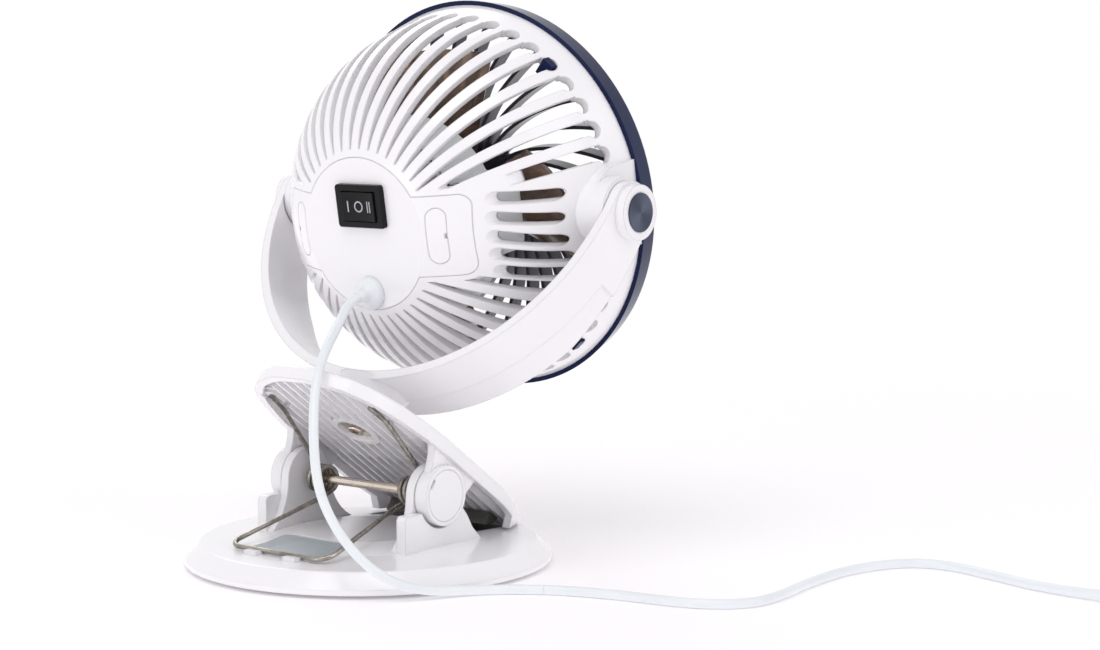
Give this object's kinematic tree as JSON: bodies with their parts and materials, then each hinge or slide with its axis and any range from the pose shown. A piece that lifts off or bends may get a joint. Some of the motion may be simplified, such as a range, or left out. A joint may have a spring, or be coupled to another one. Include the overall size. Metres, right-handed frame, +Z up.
{
  "type": "clip fan",
  "caption": "Small USB clip fan: round slotted head tilting in a U yoke that swivels on a sprung clip lever over a round foot, with rocker switch and thin cord.",
  "frame": {"origin": "centre of the round foot's underside, on the table", "axes": "+Z up; the fan faces -Y and the switch +Y; X runs along the tilt axis, the clip hinge and the jaw"},
  "size_m": [0.365, 0.2666, 0.1947],
  "materials": {
    "white_shell": "gloss",
    "navy_gloss": "gloss",
    "charcoal": "satin",
    "smoke_clear": "gloss",
    "frost_clear": "satin",
    "black_rubber": "matte",
    "foot_foam": "matte",
    "black_gloss": "satin",
    "mark_paint": "matte",
    "plain_steel": "satin",
    "spring_steel": "satin",
    "blue_cap": "spun",
    "bronze": "satin",
    "ferrite": "matte",
    "copper": "satin",
    "fibre": "matte",
    "cord_skin": "satin",
    "label_film": "matte",
    "lead_skin": "satin",
    "plug_metal": "satin",
    "resistor_body": "matte"
  },
  "bodies": {
    "base": {"base_shell": "white_shell", "foot_pad": "foot_foam", "rating_label": "label_film", "lower_jaw_pad": "black_rubber", "axle": "plain_steel", "axle_clips": "plain_steel", "torsion_spring": "spring_steel", "cord_low": "cord_skin", "cord_floor": "cord_skin", "cord_coil": "cord_skin", "cord_tail": "cord_skin", "cord_tie": "black_rubber", "usb_plug_grip": "cord_skin", "usb_plug_shell": "plug_metal", "usb_plug_tongue": "mark_paint"},
    "lever": {"lever": "white_shell", "hub_caps": "white_shell", "upper_jaw_pad": "black_rubber", "cord_mid": "cord_skin"},
    "yoke": {"yoke": "white_shell", "pivot_caps": "blue_cap", "swivel_disc": "fibre", "swivel_screw": "plain_steel", "swivel_washer": "plain_steel", "cord_top": "cord_skin"},
    "head": {"rear_housing": "white_shell", "rear_cover": "white_shell", "screw_plugs": "white_shell", "cover_screws": "plain_steel", "front_ring": "navy_gloss", "front_grille": "charcoal", "grille_hub_cap": "charcoal", "pivot_washers": "plain_steel", "pivot_discs": "fibre", "pivot_screws": "plain_steel", "switch_body": "black_gloss", "switch_terminals": "bronze", "strain_relief": "cord_skin", "motor_casing": "frost_clear", "motor_can": "plain_steel", "motor_end_cap": "black_gloss", "motor_tabs": "bronze", "motor_bushes": "bronze", "motor_magnets": "ferrite", "motor_mount_screws": "plain_steel", "lead_wires": "lead_skin", "speed_resistor": "resistor_body"},
    "rotor": {"impeller": "smoke_clear", "motor_shaft": "plain_steel", "armature": "copper"},
    "rocker": {"switch_rocker": "black_gloss", "rocker_marks": "mark_paint"}
  },
  "joints": [
    {"name": "clip_open", "type": "hinge", "parent": "base", "child": "lever", "pos_m": [0, 0.001, 0.0268], "axis": [-1, 0, 0], "range_deg": [0, 25], "stiffness_Nm_per_rad": 0.57, "springref_deg": -49.85, "deforming": ["torsion_spring", "cord_low"]},
    {"name": "yoke_swivel", "type": "hinge", "parent": "lever", "child": "yoke", "pos_m": [0, -0.04773, 0.12196], "axis": [0, -0.5793, 0.8151], "range_deg": [-60, 60], "deforming": ["cord_mid"]},
    {"name": "head_tilt", "type": "hinge", "parent": "yoke", "child": "head", "pos_m": [0, -0.04773, 0.12196], "axis": [1, 0, 0], "range_deg": [-35, 55], "deforming": ["cord_top"]},
    {"name": "impeller_spin", "type": "hinge", "parent": "head", "child": "rotor", "pos_m": [0, -0.04773, 0.12196], "axis": [0, 0.9866, -0.1633], "continuous": true},
    {"name": "switch_rock", "type": "hinge", "parent": "head", "child": "rocker", "pos_m": [-0.0007, 0.00264, 0.12376], "axis": [0, 0.1633, 0.9866], "range_deg": [-12, 12]}
  ]
}
